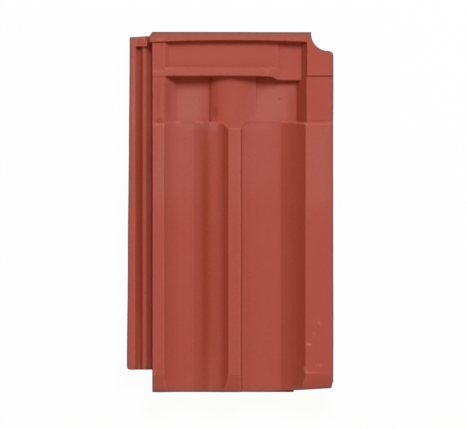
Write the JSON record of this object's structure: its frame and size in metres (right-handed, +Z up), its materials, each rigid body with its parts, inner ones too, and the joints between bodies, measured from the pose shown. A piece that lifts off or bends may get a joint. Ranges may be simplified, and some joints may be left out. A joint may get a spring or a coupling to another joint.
{
  "type": "clay roof tile",
  "caption": "Interlocking pressed clay roof tile with a ribbed side lock, a cover rib, two troughs, a centre rib, a recessed head with lock ridge and rim, and batten lugs.",
  "frame": {"origin": "on the floor under the middle of the tile's outline, with the tile lying on its lugs and tail lips", "axes": "+Z up out of the weather face, +Y along the slope from the tail to the head, +X from the side lock to the side cover"},
  "size_m": [0.235, 0.41, 0.043],
  "materials": {
    "fired_clay": "matte"
  },
  "bodies": {
    "root": {"roof_tile": "fired_clay"}
  },
  "joints": []
}
